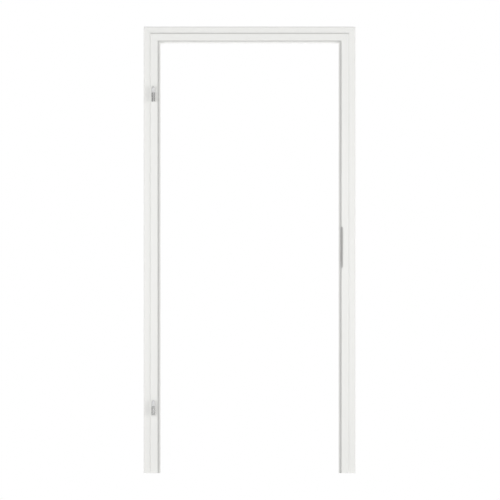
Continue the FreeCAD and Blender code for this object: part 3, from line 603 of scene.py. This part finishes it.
def bush_plastic():
    material, tree, shader = new_material(
        "bush_acetal",
        Roughness=0.42,
        Subsurface_Weight=0.08,
        Subsurface_Radius=(GLOW_DEPTH, GLOW_DEPTH, GLOW_DEPTH),
    )
    clouds = noise(tree, rest_place(tree), scale=200.0, detail=2.0)
    colour = mix_colour(tree, clouds, (0.68, 0.68, 0.68, 1), (0.73, 0.73, 0.73, 1))
    tree.links.new(colour, shader.inputs["Base Color"])
    rings = add(tree, "ShaderNodeSeparateXYZ", {0: rest_place(tree)}).outputs[2]
    turned = math_node(tree, "SINE", math_node(tree, "MULTIPLY", rings, 2 * math.pi / TOOL_PITCH))
    bump(tree, shader, turned, distance=0.01 * MM, strength=0.25)
    return material


acetal = bush_plastic()
print("plastic ready")

# %% [markdown]
# The bearing bush is a thin collar, a straight barrel that the door's own knuckle drops over, and a domed
# nose that guides it on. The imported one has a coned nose, which is enough for collisions. Here the lathe
# gives it its true dome, from one profile with the bore that sits on the pin.

# %% Bearing bushes
# Radii and heights in millimetres. TOP is the tip of the nose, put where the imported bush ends.
BARREL = 7.0
COLLAR = 7.8
COLLAR_TOP = 2.3
BORE = 4.08
BORE_TOP = 22.3
NOSE_START = 19.5
TOP = 28.5
SEAT = 0.3
SOFTENING = 0.4
TIP_RADIUS = 2.6
CORNER_STEPS = 4
NOSE_STEPS = 12
TIP_STEPS = 6
# The nose is an ogive: an arc that leaves the barrel upright and runs into the round tip without a kink.
RISE = TOP - TIP_RADIUS - NOSE_START
OGIVE = (RISE**2 + BARREL**2 - TIP_RADIUS**2) / (2 * (BARREL - TIP_RADIUS))
OGIVE_TURN = math.degrees(math.asin(RISE / (OGIVE - TIP_RADIUS)))

for level in LEVELS:
    low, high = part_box(f"hinge_bush_{level}")
    axis = Vector(((low.x + high.x) / 2, (low.y + high.y) / 2, high.z - TOP * MM))
    profile = [(0, BORE_TOP), (BORE, BORE_TOP), (BORE, SEAT)]
    profile += arc((COLLAR - SOFTENING, SEAT + SOFTENING), SOFTENING, -90, 0, CORNER_STEPS)
    profile += arc((COLLAR - SOFTENING, COLLAR_TOP - SOFTENING), SOFTENING, 0, 90, CORNER_STEPS)
    profile += [(BARREL, COLLAR_TOP)]
    profile += arc((BARREL - OGIVE, NOSE_START), OGIVE, 0, OGIVE_TURN, NOSE_STEPS)
    profile += arc((0, TOP - TIP_RADIUS), TIP_RADIUS, OGIVE_TURN, 90, TIP_STEPS)[1:]
    bush = lathe(f"bearing_bush_{level}", profile, axis)
    bush.data.materials.append(acetal)
    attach(bush, f"{level}_bush")
    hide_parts(f"hinge_bush_{level}")
    print(f"{bush.name}: {len(bush.data.polygons)} faces")

# %% [markdown]
# Countersunk wood screws hold the strike plate, the hinge receivers and the corner plates. Each has a
# cross recess in its head and a thread that bites into the board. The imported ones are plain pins, so each
# is exchanged for a detailed one of the same length and head. Screws are turned like the bush, and then
# the recess is cut. The cutter is two crossed, tapering blades.

# %% A cross cutter
CROSS_LENGTH = 4.6
CROSS_WIDTH = 1.0
CROSS_DEPTH = 1.5
CUT_ABOVE = 0.3
RIM_SHARE = 1.1
BASE_SHARE = 0.45


def blade(shape, turn):
    """A tapering blade of the cross, pointing down from the head's face."""
    rims = []
    for level, share in ((CUT_ABOVE, RIM_SHARE), (-CROSS_DEPTH, BASE_SHARE)):
        x, y = CROSS_LENGTH / 2 * share, CROSS_WIDTH / 2 * share
        corners = [Vector((px * x, py * y, level)) for px, py in SQUARE]
        rims.append([shape.verts.new(MM * (Matrix.Rotation(turn, 3, "Z") @ corner)) for corner in corners])
    top, bottom = rims
    shape.faces.new(top)
    shape.faces.new(bottom[::-1])
    for n in range(len(SQUARE)):
        after = (n + 1) % len(SQUARE)
        shape.faces.new([top[n], bottom[n], bottom[after], top[after]])


def cross_cutter(name):
    mesh = bpy.data.meshes.new(name)
    shape = bmesh.new()
    for turn in (0, math.pi / 2):
        blade(shape, turn)
    bmesh.ops.recalc_face_normals(shape, faces=shape.faces)
    shape.to_mesh(mesh)
    shape.free()
    cutter = bpy.data.objects.new(name, mesh)
    bpy.context.scene.collection.objects.link(cutter)
    return cutter


print("cross cutter ready")

# %% [markdown]
# The recess could be modelled into the head face by face. A boolean cut is shorter and works for any
# cutter. It takes the cutter's volume out of the screw's. The two blades of the cutter cross each other,
# so the exact solver is told to expect that.

# %% Mill a recess


def milled(piece, cutter):
    """The piece's mesh with the cutter's shape taken out. Both objects are removed."""
    cut = piece.modifiers.new("recess", "BOOLEAN")
    cut.object = cutter
    cut.solver = "EXACT"
    cut.use_self = True
    mesh = bpy.data.meshes.new_from_object(piece.evaluated_get(bpy.context.evaluated_depsgraph_get()))
    bpy.data.objects.remove(cutter)
    bpy.data.objects.remove(piece)
    return mesh


print("milling ready")

# %% [markdown]
# A real thread is a spiral. At this size nobody can tell it from a stack of rings, which the lathe turns
# along with the rest: root, crest, root, crest, down to the tip.

# %% A wood screw
# In millimetres, from the face of the head down to the tip.
SCREW_SHANK = 2.0
SCREW_CONE = 2.0
HEAD_RIM = 0.15
THREAD_START = 1.0
THREAD_PITCH = 1.8
THREAD_ROOT = 1.35
ROOT_LENGTH = 0.9
CREST = 1.3
TIP_LENGTH = 2.0
SCREW_SIDES = 32
ORIGIN = Vector((0, 0, 0))


def wood_screw(length, radius):
    """The mesh of a countersunk screw that points down from the origin. The radius is its head's."""
    profile = [(0, 0), (radius - HEAD_RIM, 0), (radius, -HEAD_RIM), (SCREW_SHANK, -SCREW_CONE)]
    turns = int((length - SCREW_CONE - THREAD_START - TIP_LENGTH) / THREAD_PITCH)
    for n in range(turns):
        start = SCREW_CONE + THREAD_START + n * THREAD_PITCH
        profile += [(THREAD_ROOT, -start), (THREAD_ROOT, -start - ROOT_LENGTH)]
        profile += [(SCREW_SHANK, -start - CREST)]
    profile += [(THREAD_ROOT, TIP_LENGTH - length), (0, -length)]
    screw = lathe("wood_screw", profile[::-1], ORIGIN, SCREW_SIDES)
    return milled(screw, cross_cutter("cross_cutter"))


print("wood screw ready")

# %% [markdown]
# Two grub screws in each receiver clamp the knuckle's supports. They have no head, only a hexagon socket
# in the end that faces the rebate, where a key reaches them through a bored hole. A draw bolt pulls each
# mitre of the front casing together, and it has the same socket in a round head. A hexagon is what the
# lathe makes with six sides.

# %% A hexagon cutter and a fine thread
SOCKET_DEPTH = 3.0
SOCKET_CONE = 0.5
HEXAGON = 6
GRUB_PITCH = 1.0
GRUB_GROOVE = 0.35


def socket_cutter(radius):
    """A six-sided cutter with a shallow cone at its lower end. The radius is to its corners."""
    profile = [(0, -SOCKET_DEPTH), (radius, SOCKET_CONE - SOCKET_DEPTH)]
    profile += [(radius, CUT_ABOVE), (0, CUT_ABOVE)]
    return lathe("hexagon_cutter", profile, ORIGIN, HEXAGON)


def fine_thread(radius, start, end):
    """Profile points of a fine thread down from one depth to another."""
    points = [(radius, -start)]
    for n in range(int((end - start) / GRUB_PITCH)):
        crest = start + (n + 1) * GRUB_PITCH
        points += [(radius - GRUB_GROOVE, GRUB_PITCH / 2 - crest), (radius, -crest)]
    return points


print("hexagon cutter and fine thread ready")

# %% Grub screw and draw bolt
GRUB_CHAMFER = 0.4
GRUB_SOCKET = 1.7
BOLT_SOCKET = 2.9
BOLT_HEAD_LENGTH = 5.0
BOLT_SHANK = 3.0
BOLT_PLAIN = 12.0


def grub_screw(length, radius):
    """The mesh of a grub screw that points down from the origin, its socket at the origin."""
    profile = [(0, 0), (radius - GRUB_CHAMFER, 0)]
    profile += fine_thread(radius, GRUB_CHAMFER, length - GRUB_CHAMFER)
    profile += [(radius - GRUB_CHAMFER, -length), (0, -length)]
    screw = lathe("grub_screw", profile[::-1], ORIGIN, SCREW_SIDES)
    return milled(screw, socket_cutter(GRUB_SOCKET))


def draw_bolt(length, radius):
    """The mesh of a draw bolt that points down from the origin, its head's socket at the origin."""
    profile = [(0, 0), (radius - GRUB_CHAMFER, 0), (radius, -GRUB_CHAMFER), (radius, -BOLT_HEAD_LENGTH)]
    profile += [(BOLT_SHANK, -BOLT_HEAD_LENGTH)]
    profile += fine_thread(BOLT_SHANK, BOLT_HEAD_LENGTH + BOLT_PLAIN, length - GRUB_CHAMFER)
    profile += [(BOLT_SHANK - GRUB_CHAMFER, -length), (0, -length)]
    bolt = lathe("draw_bolt", profile[::-1], ORIGIN, SCREW_SIDES)
    return milled(bolt, socket_cutter(BOLT_SOCKET))


print("socket screws ready")

# %% [markdown]
# A node may hold several screws. Their places could be typed in, but then they would be wrong as soon as
# the model changed. So they are found: a node's mesh falls apart into loose pieces, one for each screw.

# %% Loose pieces of a node
WELD = 0.001 * MM


def loose_pieces(node):
    """The points of each loose piece of a CAD node."""
    shape = bmesh.new()
    shape.from_mesh(NODES[node].data)
    bmesh.ops.remove_doubles(shape, verts=shape.verts, dist=WELD)
    waiting = set(shape.verts)
    pieces = []
    for first in shape.verts:
        if first not in waiting:
            continue
        waiting.discard(first)
        piece = [first]
        for vert in piece:
            for edge in vert.link_edges:
                other = edge.other_vert(vert)
                if other in waiting:
                    waiting.discard(other)
                    piece.append(other)
        pieces.append([vert.co.copy() for vert in piece])
    shape.free()
    return pieces


print("loose pieces can be found")

# %% [markdown]
# Measured along a screw's axis, the points of its piece say where it starts and ends, and the head is at
# the end where they spread widest. A grub screw is as wide at both ends, and its socket goes to the end
# further along the axis, which is the one that faces the rebate.

# %% Where a screw lies
ACROSS = Vector((1, 0, 0))
BACKWARDS = Vector((0, 1, 0))
END_BAND = 0.01 * MM


def screw_place(points, axis):
    """Where a screw's head is, which way it points, and its length and head radius in millimetres."""
    side = ACROSS if axis == BACKWARDS else BACKWARDS
    middle_line = Vector((0, 0, 0))
    for across in (side, axis.cross(side)):
        reach = [point.dot(across) for point in points]
        middle_line += (min(reach) + max(reach)) / 2 * across
    along = [point.dot(axis) for point in points]

    def spread(level):
        ends = [point for point, place in zip(points, along) if abs(place - level) < END_BAND]
        return max((end - middle_line - level * axis).length for end in ends)

    low, high = min(along), max(along)
    head_is_low = spread(low) > spread(high) + LITTLE
    head = middle_line + (low if head_is_low else high) * axis
    pointing = axis if head_is_low else -axis
    return head, pointing, (high - low) / MM, max(spread(low), spread(high)) / MM


print("screws can be measured")

# %% [markdown]
# Now each node of plain screws is exchanged for one detailed piece, which rides on the same body. Screws
# that are driven by hand end up turned by chance. Here each is simply turned further than the last, so
# that the scene comes out the same every time.

# %% Fit the screws
FIRST_TURN = 20
NEXT_TURN = 25
MITRE_LEFT = Vector((1, 0, 1)).normalized()
MITRE_RIGHT = Vector((-1, 0, 1)).normalized()
# For each CAD node: the body that it rides on, its detailed piece's name, what makes it, and its axis.
SCREWED = {
    "strike_screws": ("frame", "strike_cross_screws", wood_screw, ACROSS),
    "receiver_screws_upper": ("frame", "receiver_cross_screws_upper", wood_screw, BACKWARDS),
    "receiver_screws_lower": ("frame", "receiver_cross_screws_lower", wood_screw, BACKWARDS),
    "clamp_screws_upper": ("frame", "clamp_grub_screws_upper", grub_screw, ACROSS),
    "clamp_screws_lower": ("frame", "clamp_grub_screws_lower", grub_screw, ACROSS),
    "draw_bolt_left": ("frame", "threaded_draw_bolt_left", draw_bolt, MITRE_LEFT),
    "draw_bolt_right": ("frame", "threaded_draw_bolt_right", draw_bolt, MITRE_RIGHT),
    "back_screws_left": ("back_trim", "back_cross_screws_left", wood_screw, BACKWARDS),
    "back_screws_right": ("back_trim", "back_cross_screws_right", wood_screw, BACKWARDS),
}

for node, (body, name, make_screw, axis) in SCREWED.items():
    joined = bmesh.new()
    for n, points in enumerate(loose_pieces(node)):
        head, pointing, length, radius = screw_place(points, axis)
        screw_mesh = make_screw(length, radius)
        turn = Vector((0, 0, -1)).rotation_difference(pointing).to_matrix().to_4x4()
        spin = Matrix.Rotation(math.radians(FIRST_TURN + NEXT_TURN * n), 4, "Z")
        screw_mesh.transform(Matrix.Translation(head) @ turn @ spin)
        joined.from_mesh(screw_mesh)
    mesh = bpy.data.meshes.new(name)
    joined.to_mesh(mesh)
    joined.free()
    mesh.materials.append(zinc_metal)
    mesh.set_sharp_from_angle(angle=SHARP_ANGLE)
    screws = bpy.data.objects.new(name, mesh)
    bpy.context.scene.collection.objects.link(screws)
    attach(screws, body)
    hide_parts(node)
    print(f"{name}: {n + 1} of {length:.0f} mm, head {2 * radius:.1f} mm wide, {len(mesh.polygons)} faces")
